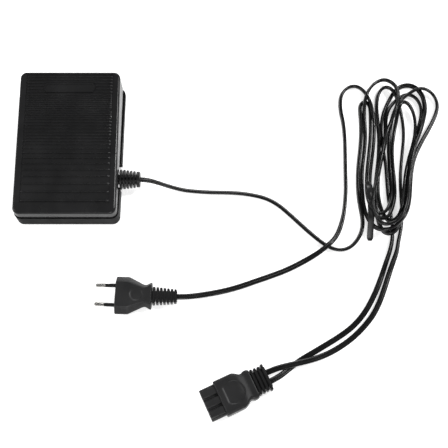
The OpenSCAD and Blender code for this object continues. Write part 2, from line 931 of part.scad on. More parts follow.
// ---- Machine connector, drawn with its nose at x = 0 and its cords towards +X ----

module at_connector() {
    translate(connector_at) rotate([0, 0, connector_turn]) children();
}

module socket_rows() {
    for (i = [-1:1])
        translate([0, i * socket_spacing, 0]) children();
}

module connector_nose() {
    color(black) at_connector() difference() {
        translate([nose_l / 2, 0, 0]) along_x(nose_l) union() {
            square([nose_w - 3, nose_t - 3.4], center = true);
            for (i = [-1:1])
                translate([i * socket_spacing, 0]) rounded_rect(7.8, nose_t, 2.4);
            square([nose_w, nose_t - 6], center = true);
        }
        socket_rows() translate([nose_l / 2, 0, 0]) rod_x(contact_r + 0.05, nose_l + 2);
    }
}

module connector_outline() {
    w = connector_w / 2;
    side = [[nose_l, w - 0.6], [nose_l + 1, w], [36, w], [40, w - 2.6], [connector_waist, 12], [43, 11.4],
        [45, 13], [47, 13]];
    polygon(concat(side, [for (i = [len(side) - 1:-1:0]) [side[i][0], -side[i][1]]]));
}

module connector_panel() {
    difference() {
        translate([27, 0]) circle(10.5);
        translate([0, -20]) square([19.5, 40]);
    }
}

module connector_body() {
    color(black) at_connector() difference() {
        intersection() {
            linear_extrude(connector_t, center = true) connector_outline();
            along_x(200) rounded_rect(connector_w, connector_t, 3);
        }
        translate([0, 0, connector_t / 2 - 0.6]) linear_extrude(2) connector_panel();
        socket_rows() translate([nose_l, 0, 0]) rod_x(contact_r + 0.05, 6);
    }
}

module connector_contacts() {
    color(brass) at_connector() socket_rows() translate([0.8 + contact_l / 2, 0, 0]) difference() {
        rod_x(contact_r, contact_l);
        translate([-1, 0, 0]) rod_x(socket_r, contact_l);
    }
}

module connector_relief() {
    ribs = 4;
    from = 47;
    length = connector_l - from;
    pitch = length / ribs;
    color(rubber_black) at_connector() translate([from, 0, 0]) difference() {
        union() {
            translate([length / 2, 0, 0]) along_x(length) square([17, 7.4], center = true);
            for (i = [0:ribs - 1])
                translate([pitch * (i + 0.62), 0, 0]) along_x(pitch * 0.62)
                    square([24.4 - i * 0.7, 13.4 - i * 0.5], center = true);
        }
        for (side = [-1, 1])
            translate([length - 1, side * entry_offset, 0]) along_x(4)
                stadium(cord_w + 0.5, cord_t + 0.5);
    }
}

base_tray();
rubber_feet();
hinge_rod();
hinge_clips();
circuit_board();
board_screws();
heat_sink();
triac();
triac_screw();
capacitor();
choke_core();
choke_winding();
resistors();
timing_capacitor();
diac();
trimmer();
trimmer_rotor();
slider_guide();
resistance_track();
terminal_block();
terminal_screws();
cord_clamp();
clamp_screws();
strain_relief();
cord_inside();
cord_cores();
return_springs();
plunger_spring();
travel_stops();
treadle_cover();
actuator_finger();
actuator_screws();
spring_cups();
slider_plunger();
wiper_contact();
pedal_cord_lead();
mains_cord_lead();
lower_cord_tail();
upper_cord_tail();
cord_hank();
hank_tie();
plug_body();
plug_pins();
pin_sleeves();
plug_relief();
connector_body();
connector_nose();
connector_contacts();
connector_relief();
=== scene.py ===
"""Looks of the sewing machine foot control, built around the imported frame.

The camera and the two cords with their strap come first, then the plug, the connector,
the outlet's gland and the springs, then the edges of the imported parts, the floor and the
light, and the finish of every surface. Metres, Z up.
"""

import json
import math

import bpy
import numpy as np
from mathutils import Matrix, Vector
from mathutils.geometry import tessellate_polygon


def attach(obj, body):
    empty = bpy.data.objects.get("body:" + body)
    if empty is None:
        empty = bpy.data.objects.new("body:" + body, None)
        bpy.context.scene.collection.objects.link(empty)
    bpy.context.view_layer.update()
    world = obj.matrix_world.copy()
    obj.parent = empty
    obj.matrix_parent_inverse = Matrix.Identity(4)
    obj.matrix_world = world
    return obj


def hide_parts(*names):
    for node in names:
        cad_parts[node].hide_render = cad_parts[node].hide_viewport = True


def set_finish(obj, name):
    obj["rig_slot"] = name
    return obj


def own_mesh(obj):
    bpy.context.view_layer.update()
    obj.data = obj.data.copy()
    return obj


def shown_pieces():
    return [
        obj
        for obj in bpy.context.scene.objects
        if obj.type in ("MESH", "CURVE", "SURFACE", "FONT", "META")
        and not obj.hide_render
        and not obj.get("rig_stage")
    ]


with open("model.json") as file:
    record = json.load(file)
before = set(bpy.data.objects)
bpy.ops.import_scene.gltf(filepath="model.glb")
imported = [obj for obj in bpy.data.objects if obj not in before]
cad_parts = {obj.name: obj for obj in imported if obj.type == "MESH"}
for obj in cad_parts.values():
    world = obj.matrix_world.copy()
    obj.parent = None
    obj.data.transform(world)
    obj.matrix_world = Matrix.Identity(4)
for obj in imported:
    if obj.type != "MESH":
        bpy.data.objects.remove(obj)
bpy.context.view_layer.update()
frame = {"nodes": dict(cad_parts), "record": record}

MM = 0.001

# ---- Camera: 70 degrees above the floor, looking along +Y ----

VIEW_HEIGHT = math.radians(70)
VIEW_DISTANCE = 0.768
VIEW_MIDDLE = Vector((0.14875, -0.0705, 0.0))
LENS = 64.3  # mm, on a sensor 36 mm wide


def add_camera():
    """The camera, at its distance from the middle of the object on the floor."""
    data = bpy.data.cameras.new("camera")
    data.lens = LENS
    data.sensor_width = 36.0
    camera = bpy.data.objects.new("camera", data)
    bpy.context.scene.collection.objects.link(camera)
    back = Vector((0, -math.cos(VIEW_HEIGHT), math.sin(VIEW_HEIGHT)))
    camera.location = VIEW_MIDDLE + back * VIEW_DISTANCE
    camera.rotation_euler = (math.pi / 2 - VIEW_HEIGHT, 0, 0)
    bpy.context.scene.camera = camera


# ---- Meshes ----


def add_mesh(name, points, faces, slot, crease):
    """A smooth mesh piece of the base, whose edges stay sharp above crease degrees."""
    mesh = bpy.data.meshes.new(name)
    mesh.from_pydata([tuple(p) for p in points], [], faces)
    mesh.validate()
    mesh.polygons.foreach_set("use_smooth", [True] * len(mesh.polygons))
    mesh.set_sharp_from_angle(angle=math.radians(crease))
    piece = bpy.data.objects.new(name, mesh)
    bpy.context.scene.collection.objects.link(piece)
    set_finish(piece, slot)
    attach(piece, "base")
    return piece


def loft(rings, open_start=False):
    """Points and faces of closed rings joined one to the next, with a fan at each end."""
    count = len(rings[0])
    points = np.concatenate(rings)
    faces = []
    for i in range(len(rings) - 1):
        here, there = i * count, (i + 1) * count
        for k in range(count):
            after = (k + 1) % count
            faces.append((here + k, here + after, there + after, there + k))
    first, last = len(points), len(points) + 1
    points = np.vstack([points, rings[0].mean(axis=0), rings[-1].mean(axis=0)])
    end = (len(rings) - 1) * count
    for k in range(count):
        after = (k + 1) % count
        faces.append((last, end + k, end + after))
        if not open_start:
            faces.append((first, after, k))
    return points, faces


def join(parts):
    """One list of points and faces out of several."""
    points, faces, start = [], [], 0
    for p, f in parts:
        points.append(p)
        faces += [tuple(i + start for i in face) for face in f]
        start += len(p)
    return np.concatenate(points), faces


def placed(points, at, turn):
    """Points moved to at and turned about Z by turn degrees."""
    matrix = Matrix.Translation(Vector(at)) @ Matrix.Rotation(math.radians(turn), 4, "Z")
    m = np.array(matrix)
    return points @ m[:3, :3].T + m[:3, 3]


def smooth_step(x):
    """From 0 to 1 with a gentle start and end, as x goes from 0 to 1."""
    x = np.clip(x, 0, 1)
    return x * x * (3 - 2 * x)


# ---- Cords: flat twin flex, 5.4 by 3.2 mm ----

CORD_W = 0.0054
CORD_T = 0.0032
CORE_R = CORD_T / 2
CORE_X = CORD_W / 2 - CORE_R
SAMPLE = 0.0015  # between two rings
TWIN_GAP = 0.020  # cord nearer than this along itself is never a crossing
FINE_STEPS = 60  # curve steps for each point of a route, before they are evened out

# A stretch is (order, roll, points). Where two stretches cross, the one with the higher
# order lies on top. Roll is the angle in degrees between the cord's flat and the floor.
PEDAL_CORD = [
    (0, 0, [(0.047, -0.0293, 0.012), (0.058, -0.0293, 0.012), (0.069, -0.0293, 0.012)]),
    (0, 50, [
        (0.078, -0.030, 0.0108), (0.088, -0.032, 0.0076), (0.099, -0.0344, 0.0042),
        (0.111, -0.0366, 0.0022), (0.124, -0.038), (0.138, -0.0388), (0.152, -0.039),
        (0.166, -0.040), (0.178, -0.042), (0.190, -0.0455), (0.201, -0.052),
        (0.212, -0.062), (0.223, -0.073), (0.234, -0.0835), (0.245, -0.0925)]),
    (0, 70, [(0.256, -0.0975), (0.267, -0.0955), (0.275, -0.088), (0.2805, -0.077)]),
    # up the left of the hank, over, and back down
    (1, 80, [
        (0.2815, -0.066), (0.280, -0.054), (0.279, -0.040), (0.2793, -0.025),
        (0.281, -0.008), (0.2835, 0.008), (0.2853, 0.024), (0.286, 0.040)]),
    (3, 75, [(0.2858, 0.051), (0.2867, 0.0575), (0.2908, 0.0613), (0.295, 0.0575), (0.296, 0.050)]),
    (1, 80, [
        (0.2955, 0.036), (0.294, 0.018), (0.2915, 0.001), (0.289, -0.015), (0.287, -0.030),
        (0.286, -0.045)]),
    (9, 80, [(0.287, -0.056), (0.291, -0.063), (0.297, -0.0655), (0.303, -0.061), (0.308, -0.052)]),
    # up the middle, over the widest loop, and down the right
    (3, 80, [
        (0.3105, -0.042), (0.311, -0.027), (0.311, -0.008), (0.3115, 0.008), (0.313, 0.022),
        (0.3155, 0.035), (0.3185, 0.045)]),
    (6, 65, [
        (0.323, 0.053), (0.329, 0.060), (0.336, 0.0665), (0.343, 0.0715), (0.350, 0.0735),
        (0.357, 0.0715), (0.3625, 0.0655), (0.3645, 0.057), (0.3625, 0.048), (0.358, 0.038)]),
    (1, 60, [(0.3525, 0.028), (0.3465, 0.018), (0.3405, 0.007), (0.3355, -0.005)]),
    (1, 80, [(0.3325, -0.018), (0.3305, -0.031), (0.328, -0.046)]),
    (8, 80, [
        (0.324, -0.059), (0.319, -0.068), (0.312, -0.0755), (0.305, -0.0795), (0.298, -0.0795),
        (0.2915, -0.076), (0.287, -0.068)]),
    # up the left again, over, and down across the bundle
    (1, 80, [
        (0.284, -0.058), (0.283, -0.045), (0.283, -0.028), (0.2845, -0.012), (0.287, 0.003),
        (0.289, 0.018), (0.2895, 0.032)]),
    (7, 80, [
        (0.2895, 0.048), (0.291, 0.061), (0.2955, 0.071), (0.302, 0.079), (0.311, 0.083),
        (0.318, 0.080), (0.3225, 0.073), (0.3235, 0.064), (0.3215, 0.053)]),
    (9, 75, [
        (0.3175, 0.042), (0.313, 0.030), (0.3085, 0.019), (0.305, 0.006), (0.302, -0.007),
        (0.2985, -0.020), (0.2945, -0.033)]),
    (7, 80, [
        (0.2915, -0.045), (0.2905, -0.058), (0.2925, -0.069), (0.298, -0.0755), (0.305, -0.0755),
        (0.312, -0.072), (0.318, -0.065), (0.322, -0.056)]),
    (6, 80, [(0.325, -0.044), (0.3275, -0.028), (0.331, -0.008), (0.336, 0.008)]),
    (2, 70, [
        (0.343, 0.024), (0.3475, 0.037), (0.3505, 0.049), (0.351, 0.059), (0.350, 0.067),
        (0.3455, 0.075), (0.3385, 0.079), (0.331, 0.0785), (0.3245, 0.0745), (0.3185, 0.066)]),
    (1, 80, [
        (0.313, 0.056), (0.3085, 0.045), (0.306, 0.032), (0.3055, 0.018), (0.3065, 0.004),
        (0.3075, -0.010), (0.3075, -0.025), (0.3075, -0.040), (0.3085, -0.055),
        (0.3095, -0.070)]),
    # out of the hank and down to the connector
    (0, 60, [(0.309, -0.084), (0.306, -0.097), (0.301, -0.110)]),
    (0, 15, [
        (0.2965, -0.122), (0.2915, -0.134), (0.285, -0.147), (0.277, -0.1595),
        (0.267, -0.1705), (0.255, -0.1795), (0.242, -0.1875), (0.229, -0.1952)]),
    (0, 0, [
        (0.218, -0.2016, 0.0018), (0.208, -0.209, 0.003), (0.1995, -0.216, 0.0056),
        (0.1884, -0.2224, 0.008)]),
]
MAINS_CORD = [
    (1, 0, [
        (0.104, -0.1444, 0.007), (0.115, -0.1439, 0.006), (0.126, -0.142, 0.0034),
        (0.138, -0.1396, 0.0018)]),
    (1, 5, [
        (0.151, -0.1368), (0.165, -0.1327), (0.179, -0.1277), (0.193, -0.1227),
        (0.207, -0.1172), (0.220, -0.1107), (0.231, -0.1046)]),
    (1, 45, [(0.241, -0.0985), (0.249, -0.0920), (0.2555, -0.084), (0.260, -0.074)]),
    (1, 80, [(0.2635, -0.062), (0.2655, -0.050), (0.267, -0.036), (0.2675, -0.022)]),
    # up beside the hank, over, and down into the left bundle
    (1, 85, [(0.268, -0.008), (0.2685, 0.006), (0.2688, 0.022), (0.268, 0.038)]),
    (6, 75, [
        (0.2665, 0.048), (0.2662, 0.058), (0.268, 0.068), (0.2735, 0.0755), (0.281, 0.0785),
        (0.288, 0.0755), (0.293, 0.067), (0.296, 0.057)]),
    (4, 75, [(0.298, 0.044), (0.2985, 0.032), (0.2978, 0.018), (0.296, 0.005), (0.2935, -0.008)]),
    (2, 80, [(0.291, -0.022), (0.2895, -0.036)]),
    (6, 80, [
        (0.289, -0.049), (0.290, -0.061), (0.2935, -0.068), (0.299, -0.070), (0.305, -0.066),
        (0.310, -0.056)]),
    # up the middle, over a small loop, and down the right
    (2, 80, [(0.3135, -0.044), (0.3145, -0.028), (0.3143, -0.010), (0.315, 0.008)]),
    (4, 75, [
        (0.3175, 0.022), (0.3205, 0.036), (0.323, 0.047), (0.326, 0.055), (0.3305, 0.0575),
        (0.335, 0.0540), (0.3385, 0.046), (0.3395, 0.035), (0.338, 0.022)]),
    (5, 80, [(0.3345, 0.009), (0.330, -0.004), (0.326, -0.018), (0.3235, -0.031)]),
    (3, 80, [
        (0.321, -0.046), (0.3175, -0.060), (0.312, -0.069), (0.306, -0.070), (0.3015, -0.063)]),
    # up across the bundle, over a low loop, and down the right
    (2, 80, [
        (0.299, -0.052), (0.298, -0.038), (0.2995, -0.022), (0.303, -0.006), (0.307, 0.010),
        (0.3095, 0.026)]),
    (1, 70, [
        (0.3105, 0.039), (0.314, 0.050), (0.320, 0.0585), (0.327, 0.0655), (0.3335, 0.0685),
        (0.340, 0.0675), (0.345, 0.062), (0.3475, 0.054), (0.347, 0.045)]),
    (1, 80, [
        (0.344, 0.034), (0.3395, 0.021), (0.335, 0.008), (0.3305, -0.006), (0.3275, -0.018),
        (0.326, -0.031)]),
    (4, 80, [
        (0.3235, -0.046), (0.3205, -0.061), (0.316, -0.073), (0.309, -0.082), (0.302, -0.082),
        (0.2975, -0.074)]),
    # up to the narrow loop and down the right
    (3, 80, [
        (0.2955, -0.060), (0.295, -0.045), (0.296, -0.030), (0.2985, -0.014), (0.301, 0.002),
        (0.3025, 0.018)]),
    (5, 75, [
        (0.3025, 0.032), (0.3025, 0.047), (0.303, 0.058), (0.305, 0.0675), (0.309, 0.0745),
        (0.3135, 0.0765), (0.318, 0.0735), (0.3215, 0.066), (0.3245, 0.056)]),
    (1, 80, [
        (0.327, 0.044), (0.328, 0.031), (0.327, 0.017), (0.3245, 0.002), (0.322, -0.014),
        (0.3205, -0.030), (0.320, -0.048), (0.3195, -0.064)]),
    # out of the hank and down to the connector
    (0, 70, [(0.3175, -0.077), (0.3145, -0.088), (0.312, -0.099)]),
    (0, 20, [
        (0.3075, -0.110), (0.3028, -0.122), (0.2983, -0.134), (0.293, -0.147),
        (0.2855, -0.1605), (0.2755, -0.1725), (0.2645, -0.1825), (0.252, -0.191)]),
    (1, 0, [
        (0.240, -0.1972, 0.0022), (0.228, -0.2018, 0.0042), (0.216, -0.205, 0.0056),
        (0.205, -0.2078, 0.007), (0.196, -0.2102, 0.0078), (0.1848, -0.2148, 0.008)]),
]
# The strap that holds the hank: out from between the cords, then down along the bundle
STRAP_W = 0.0060
STRAP_T = 0.0012
STRAP_TIP = 0.0018  # its free end narrows over this length
STRAP_NARROWS = 0.4  # by this part of its size
STRAP = [
    (20, 0, [
        (0.288, -0.030, 0.004), (0.288, -0.036), (0.288, -0.044), (0.288, -0.054),
        (0.2878, -0.064), (0.2877, -0.074), (0.2876, -0.082), (0.2875, -0.088)]),
]


def spline(points):
    """A smooth curve through the points, SAMPLE apart, and the index along the points."""
    p = np.array(points, float)
    gaps = np.sqrt(np.linalg.norm(np.diff(p[:, :2], axis=0), axis=1))
    t = np.concatenate([[0], np.cumsum(gaps)])
    padded = np.vstack([2 * p[0] - p[1], p, 2 * p[-1] - p[-2]])
    knots = np.concatenate([[t[0] - gaps[0]], t, [t[-1] + gaps[-1]]])
    at = np.linspace(t[0], t[-1], FINE_STEPS * len(p))

    # Between each two points the curve blends three lines into two and then into one.
    i = np.clip(np.searchsorted(t, at, side="right") - 1, 0, len(t) - 2)
    k = [knots[i + n][:, None] for n in range(4)]
    q = [padded[i + n] for n in range(4)]
    u = at[:, None]
    a = [((k[n + 1] - u) * q[n] + (u - k[n]) * q[n + 1]) / (k[n + 1] - k[n]) for n in range(3)]
    b = [((k[n + 2] - u) * a[n] + (u - k[n]) * a[n + 1]) / (k[n + 2] - k[n]) for n in range(2)]
    curve = ((k[2] - u) * b[0] + (u - k[1]) * b[1]) / (k[2] - k[1])

    along = np.concatenate([[0], np.cumsum(np.linalg.norm(np.diff(curve[:, :2], axis=0), axis=1))])
    place = i + (at - t[i]) / (t[i + 1] - t[i])
    even = np.linspace(0, along[-1], math.ceil(along[-1] / SAMPLE) + 1)
    curve = np.stack([np.interp(even, along, curve[:, n]) for n in range(p.shape[1])], axis=1)
    return curve, np.interp(even, along, place)


def blurred(values, width, passes=2):
    """Values smoothed along the first axis over width samples, with the ends kept."""
    for _ in range(passes):
        padded = np.concatenate([values[:1]] * width + [values] + [values[-1:]] * width)
        window = np.cumsum(np.concatenate([padded[:1] * 0, padded]), axis=0)
        size = 2 * width + 1
        values = (window[size:] - window[:-size]) / size
    return values


def routed(stretches, wide, thick):
    """Samples of a cord's route: where it is, its order, roll, half width, half height and
    the height that it is held at, or 0. It is held between two points that give a height."""
    points, order, roll, height, has_height = [], [], [], [], []
    for rank, angle, part in stretches:
        for p in part:
            points.append(p[:2])
            order.append(rank)
            roll.append(angle)
            height.append(p[2] if len(p) > 2 else 0.0)
            has_height.append(float(len(p) > 2))
    curve, place = spline(points)
    index = np.arange(len(points))
    order = blurred(np.interp(place, index, order), 3)
    roll = np.radians(blurred(np.interp(place, index, roll), 8))
    between_heights = np.interp(place, index, has_height) >= 0.99
    held = np.where(between_heights, np.interp(place, index, height), 0)
    curve[1:-1] = blurred(curve, 2)[1:-1]
    half_w = (wide - thick) / 2 * np.abs(np.cos(roll)) + thick / 2
    half_h = (wide - thick) / 2 * np.abs(np.sin(roll)) + thick / 2
    return {"xy": curve, "order": order, "roll": roll, "held": held, "w": half_w, "h": half_h}


GIVE = 0.92  # soft cords nest into each other by the rest
HIGHEST = 0.0150  # the middle of the topmost cord
LAY_STEPS = 2600
SPREAD = 0.24  # how far one step evens out the heights
SINK = 0.000006  # how far one step lets a cord drop


def contacts(xy, cord, half_w):
    """Pairs of samples that lie across each other in plan, and how deep, from 0 to 1."""
    first, second, depth = [], [], []
    for i in range(len(xy) - 1):
        away = np.hypot(*(xy[i + 1:] - xy[i]).T)
        reach = half_w[i] + half_w[i + 1:]
        near = np.nonzero(away < reach)[0]
        near = near[(cord[near + i + 1] != cord[i]) | ((near + 1) * SAMPLE > TWIN_GAP)]
        first.append(np.full(len(near), i))
        second.append(near + i + 1)
        depth.append(np.sqrt(1 - (away[near] / reach[near]) ** 2))
    return np.concatenate(first), np.concatenate(second), np.concatenate(depth)


def crossings(first, second):
    """A number for each pair, the same all over one crossing."""
    at = {(i, j): n for n, (i, j) in enumerate(zip(first.tolist(), second.tolist()))}
    number = np.full(len(first), -1)
    steps = [(a, b) for a in (-1, 0, 1) for b in (-1, 0, 1)]
    for pair, n in at.items():
        if number[n] >= 0:
            continue
        number[n] = n
        waiting = [pair]
        while waiting:
            i, j = waiting.pop()
            for a, b in steps:
                m = at.get((i + a, j + b))
                if m is not None and number[m] < 0:
                    number[m] = n
                    waiting.append((i + a, j + b))
    return number


def lay_down(routes):
    """Heights of the routes when they are laid on the floor and on each other."""
    xy, order, half_w, half_h, held = (
        np.concatenate([r[key] for r in routes]) for key in ("xy", "order", "w", "h", "held")
    )
    cord = np.concatenate([np.full(len(r["xy"]), n) for n, r in enumerate(routes)])
    first, second, depth = contacts(xy, cord, half_w)
    number = crossings(first, second)
    lead = np.bincount(number, order[second] - order[first], len(number))[number]
    above = lead >= 0
    low, high = np.where(above, first, second), np.where(above, second, first)
    need = GIVE * (half_h[first] + half_h[second]) * depth
    fixed = held > 0
    floor = np.maximum(half_h, held)
    z = floor.copy()
    inner = 1 + np.nonzero((cord[1:-1] == cord[:-2]) & (cord[1:-1] == cord[2:]))[0]
    for _ in range(LAY_STEPS):
        z[inner] += SPREAD * (z[inner - 1] - 2 * z[inner] + z[inner + 1])
        z = np.maximum(z - SINK, floor)
        np.maximum.at(z, high, z[low] + need)
        z = np.minimum(z, HIGHEST)
        z[fixed] = held[fixed]
    ends = np.cumsum([len(r["xy"]) for r in routes])[:-1]
    return np.split(z, ends)


def twin_section():
    """Outline of the flex: two round cores with a shallow groove between them."""
    turn = np.radians(np.linspace(-128, 128, 11))
    right = np.stack([CORE_X + CORE_R * np.cos(turn), CORE_R * np.sin(turn)], axis=1)
    return np.vstack([right, -right])


def strap_section():
    """Outline of the strap, flat with rounded edges."""
    turn = np.radians(np.linspace(-90, 90, 7))
    r = STRAP_T / 2
    right = np.stack([STRAP_W / 2 - r + r * np.cos(turn), r * np.sin(turn)], axis=1)
    return np.vstack([right, -right])


def swept(line, roll, section, size=None):
    """Points and faces of a section carried along a line, rolled about it."""
    ahead = np.gradient(line, axis=0)
    ahead /= np.linalg.norm(ahead, axis=1)[:, None]
    side = np.stack([ahead[:, 1], -ahead[:, 0], 0 * ahead[:, 0]], axis=1)
    side /= np.linalg.norm(side, axis=1)[:, None]
    up = np.cross(side, ahead)
    across = side * np.cos(roll)[:, None] + up * np.sin(roll)[:, None]
    over = np.cross(across, ahead)
    size = np.ones(len(line)) if size is None else size
    rings = [
        line[i] + size[i] * (section[:, :1] * across[i] + section[:, 1:] * over[i])
        for i in range(len(line))
    ]
    return loft(rings)


def add_cord(name, route, line):
    """A length of flex along a line."""
    points, faces = swept(line, route["roll"], twin_section())
    return add_mesh(name, points, faces, "cord_pvc", crease=60)


def add_strap(route, line):
    """The strap of the hank, narrower at its free end."""
    from_tip = np.linalg.norm(line - line[-1], axis=1)
    size = 1 - STRAP_NARROWS * np.clip(1 - from_tip / STRAP_TIP, 0, 1) ** 2
    points, faces = swept(line, route["roll"], strap_section(), size)
    strap = add_mesh("hank_strap", points, faces, "tie_strap", crease=60)
    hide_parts("hank_tie")
    return strap


add_camera()
routes = [
    routed(PEDAL_CORD, CORD_W, CORD_T),
    routed(MAINS_CORD, CORD_W, CORD_T),
    routed(STRAP, STRAP_W, STRAP_T),
]
pedal_line, mains_line, strap_line = (
    np.column_stack([route["xy"], blurred(z, 2)]) for route, z in zip(routes, lay_down(routes))
)
pedal_cord = add_cord("pedal_cord", routes[0], pedal_line)
mains_cord = add_cord("mains_cord", routes[1], mains_line)
hank_strap = add_strap(routes[2], strap_line)
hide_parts("pedal_cord_lead", "lower_cord_tail", "cord_hank")
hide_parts("mains_cord_lead", "upper_cord_tail", "cord_hank")

# ---- Moulded pieces, drawn along their own X axis in millimetres ----


def softened(corners, cut, steps=4):
    """A closed outline with each corner rounded off over cut millimetres."""
    corners = np.array(corners, float)
    points = []
    for before, here, after in zip(np.roll(corners, 1, 0), corners, np.roll(corners, -1, 0)):
        back, ahead = before - here, after - here
        back *= min(cut / np.linalg.norm(back), 0.45)
        ahead *= min(cut / np.linalg.norm(ahead), 0.45)
        for u in np.linspace(0, 1, steps):
            points.append(here + back * (1 - u) ** 2 + ahead * u ** 2)
    return np.array(points)


def box_corners(half_w, half_t):
    """Corners of a plain rectangular section."""
    return [(half_w, -half_t), (half_w, half_t), (-half_w, half_t), (-half_w, -half_t)]


def lens_corners(half_w, half_t, side):
    """Corners of a section whose two sides slope away from a narrow edge."""
    edge = 1.0
    right = [(half_w, -edge), (half_w, edge), (half_w - side, half_t)]
    left = [(side - half_w, half_t), (-half_w, edge), (-half_w, -edge)]
    return right + left + [(side - half_w, -half_t), (half_w - side, -half_t)]


def ring_at(x, outline):
    """The outline stood up at x along the piece."""
    return np.column_stack([np.full(len(outline), x), outline])


def ribbed(start, ribs, core, cut, length):
    """A core that carries ribs, each rib (from, to, half width, half height)."""
    bevel = 0.3
    sections = [(0, core)]
    for begin, end, half_w, half_t in ribs:
        top = (half_w, half_t)
        edge = (half_w - bevel, half_t - bevel)
        sections += [(begin, core), (begin, edge), (begin + bevel, top)]
        sections += [(end - bevel, top), (end, edge), (end, core)]
    sections.append((length, core))
    return loft([ring_at(start + x, softened(box_corners(*size), cut)) for x, size in sections])


def profile(along, stations):
    """Values at distances along a piece, from its (distance, value) stations."""
    distances, values = zip(*stations)
    return np.interp(along, distances, values)


def eased(values, width):
    """Values smoothed along the piece, but for those that round off its two ends."""
    values[3:-2] = blurred(values, width)[3:-2]
    return values


def add_moulding(name, parts, at, turn, slot, node, crease=40):
    """A piece out of lofted parts in millimetres, placed at a point and turned about Z."""
    points, faces = join(parts)
    piece = add_mesh(name, placed(points * MM, at, turn), faces, slot, crease=crease)
    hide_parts(node)
    return piece


def split_top(outline, count):
    """The outline with count points along its long top edge, so that it can be pressed in."""
    long_edge = 4
    following = np.roll(outline, -1, 0)
    length = np.linalg.norm(following - outline, axis=1)
    long_and_high = (length > long_edge) & (outline[:, 1] > 0) & (following[:, 1] > 0)
    edges = np.nonzero(long_and_high)[0]
    edge = edges[np.argmax(outline[edges, 1])]
    way = following[edge] - outline[edge]
    extra = outline[edge] + way * np.linspace(0, 1, count)[1:-1, None]
    return np.vstack([outline[:edge + 1], extra, outline[edge + 1:]])


def press_in(points, tops, depth, inside):
    """Lowers the points of the top face by depth where inside is 1."""
    skin = 0.05
    on_top = points[:, 2] > tops - skin
    points[:, 2] -= np.where(on_top, depth * inside, 0)


# Distances along the plug are from its face. Wide and high are half its size, side is how
# far its slanted sides reach in from the edge, and ends is how much it loses at each end.
PLUG_AT = (0.049, -0.1428, 0.007)
PLUG_TURN = -1.6
PLUG_L = 33.4
PLUG_WIDE = [(0, 17.7), (12, 17.7), (25.5, 10.7), (28, 10.3), (32.5, 13.0), (PLUG_L, 12.8)]
PLUG_HIGH = [(0, 6.85), (14, 6.85), (27, 6.0), (32.5, 6.3)]
PLUG_SIDE = [(0, 6.0), (12, 6.0), (27, 3.6), (33, 3.6)]
PLUG_ENDS = [(0, 0.8), (0.25, 0.3), (0.8, 0), (32.6, 0), (33.1, 0.3), (PLUG_L, 0.8)]
DIMPLE_AT = 19.3
DIMPLE_R = 6.2
DIMPLE_DEPTH = 0.55
DIMPLE_SLOPE = 1.1


def plug_body():
    """The plug's waisted body with a thumb dimple."""
    along = np.concatenate([[0, 0.25, 0.8], np.arange(1.4, 32.6, 0.6), [32.6, 33.1, PLUG_L]])
    wide = eased(profile(along, PLUG_WIDE), 1)
    high = profile(along, PLUG_HIGH)
    side = profile(along, PLUG_SIDE)
    ends = profile(along, PLUG_ENDS)
    rings = [
        ring_at(x, split_top(softened(lens_corners(w - e, t - e, s), cut=0.9), count=36))
        for x, w, t, s, e in zip(along, wide, high, side, ends)
    ]
    points, faces = loft(rings)
    from_middle = np.hypot(points[:, 0] - DIMPLE_AT, points[:, 1])
    tops = np.interp(points[:, 0], along, high)
    press_in(points, tops, DIMPLE_DEPTH, smooth_step((DIMPLE_R - from_middle) / DIMPLE_SLOPE))
    return points, faces


def plug_relief():
    """The plug's slotted relief, whose ribs get smaller away from the body."""
    pitch = 3.3
    ribs = [
        (pitch * i + 1.0, pitch * i + 3.1, 8 - 0.27 * i, 4.7 - 0.13 * i)
        for i in range(7)
    ]
    return ribbed(33.3, ribs, core=(4.6, 3.9), cut=1.2, length=23.3)


def add_plug():
    """The flat two-pin plug and its relief."""
    return [
        add_moulding("plug_moulding", [plug_body()], PLUG_AT, PLUG_TURN, "plug_plastic",
                     "plug_body"),
        add_moulding("plug_boot", [plug_relief()], PLUG_AT, PLUG_TURN, "relief_pvc",
                     "plug_relief"),
    ]


# Distances along the connector are from the front of its nose, the rest as on the plug.
CONNECTOR_AT = (0.1326, -0.2437, 0.008)
CONNECTOR_TURN = 25
NOSE_L = 13.9
CONNECTOR_L = 47.0
CONNECTOR_WIDE = [
    (14, 16.3), (32, 16.3), (35.5, 14.4), (38, 12.4), (39.5, 12.3), (42, 13.7), (45, 13.6),
    (46.6, 12.8),
]
CONNECTOR_HIGH = [(14, 8.0), (35, 8.0), (42, 6.6), (44.6, 7.1), (CONNECTOR_L, 6.9)]
CONNECTOR_ENDS = [
    (NOSE_L, 1.0), (NOSE_L + 0.3, 0.4), (NOSE_L + 1, 0), (46.5, 0), (CONNECTOR_L, 0.6),
]
PANEL_AT = 27.0
PANEL_R = 10.0
PANEL_FLAT = 19.8  # the round panel is cut straight here
PANEL_DEPTH = 0.6
PANEL_SLOPE = 0.9
CONNECTOR_RIBS = [(11.9, 6.5), (11.7, 6.3), (11.5, 6.1), (12.3, 6.2)]
SOCKET_SPACING = 9.2
SOCKET_R = 1.85
SOCKET_L = 12.9


def nose_outline(inset):
    """Three barrels side by side, a little smaller by inset."""
    barrel, high, low, edge = 3.3 - inset, 6.5 - inset, 4.0 - inset, 14.7 - inset
    corner, slope = 2.6, 0.9
    upper = [(edge, corner), (SOCKET_SPACING + barrel + slope, low)]
    for i in (1, 0, -1):
        y = i * SOCKET_SPACING
        upper += [(y + barrel, low), (y + barrel, high), (y - barrel, high), (y - barrel, low)]
    upper += [(-SOCKET_SPACING - barrel - slope, low), (-edge, corner)]
    return softened(upper + [(-a, -b) for a, b in upper], cut=1.3)


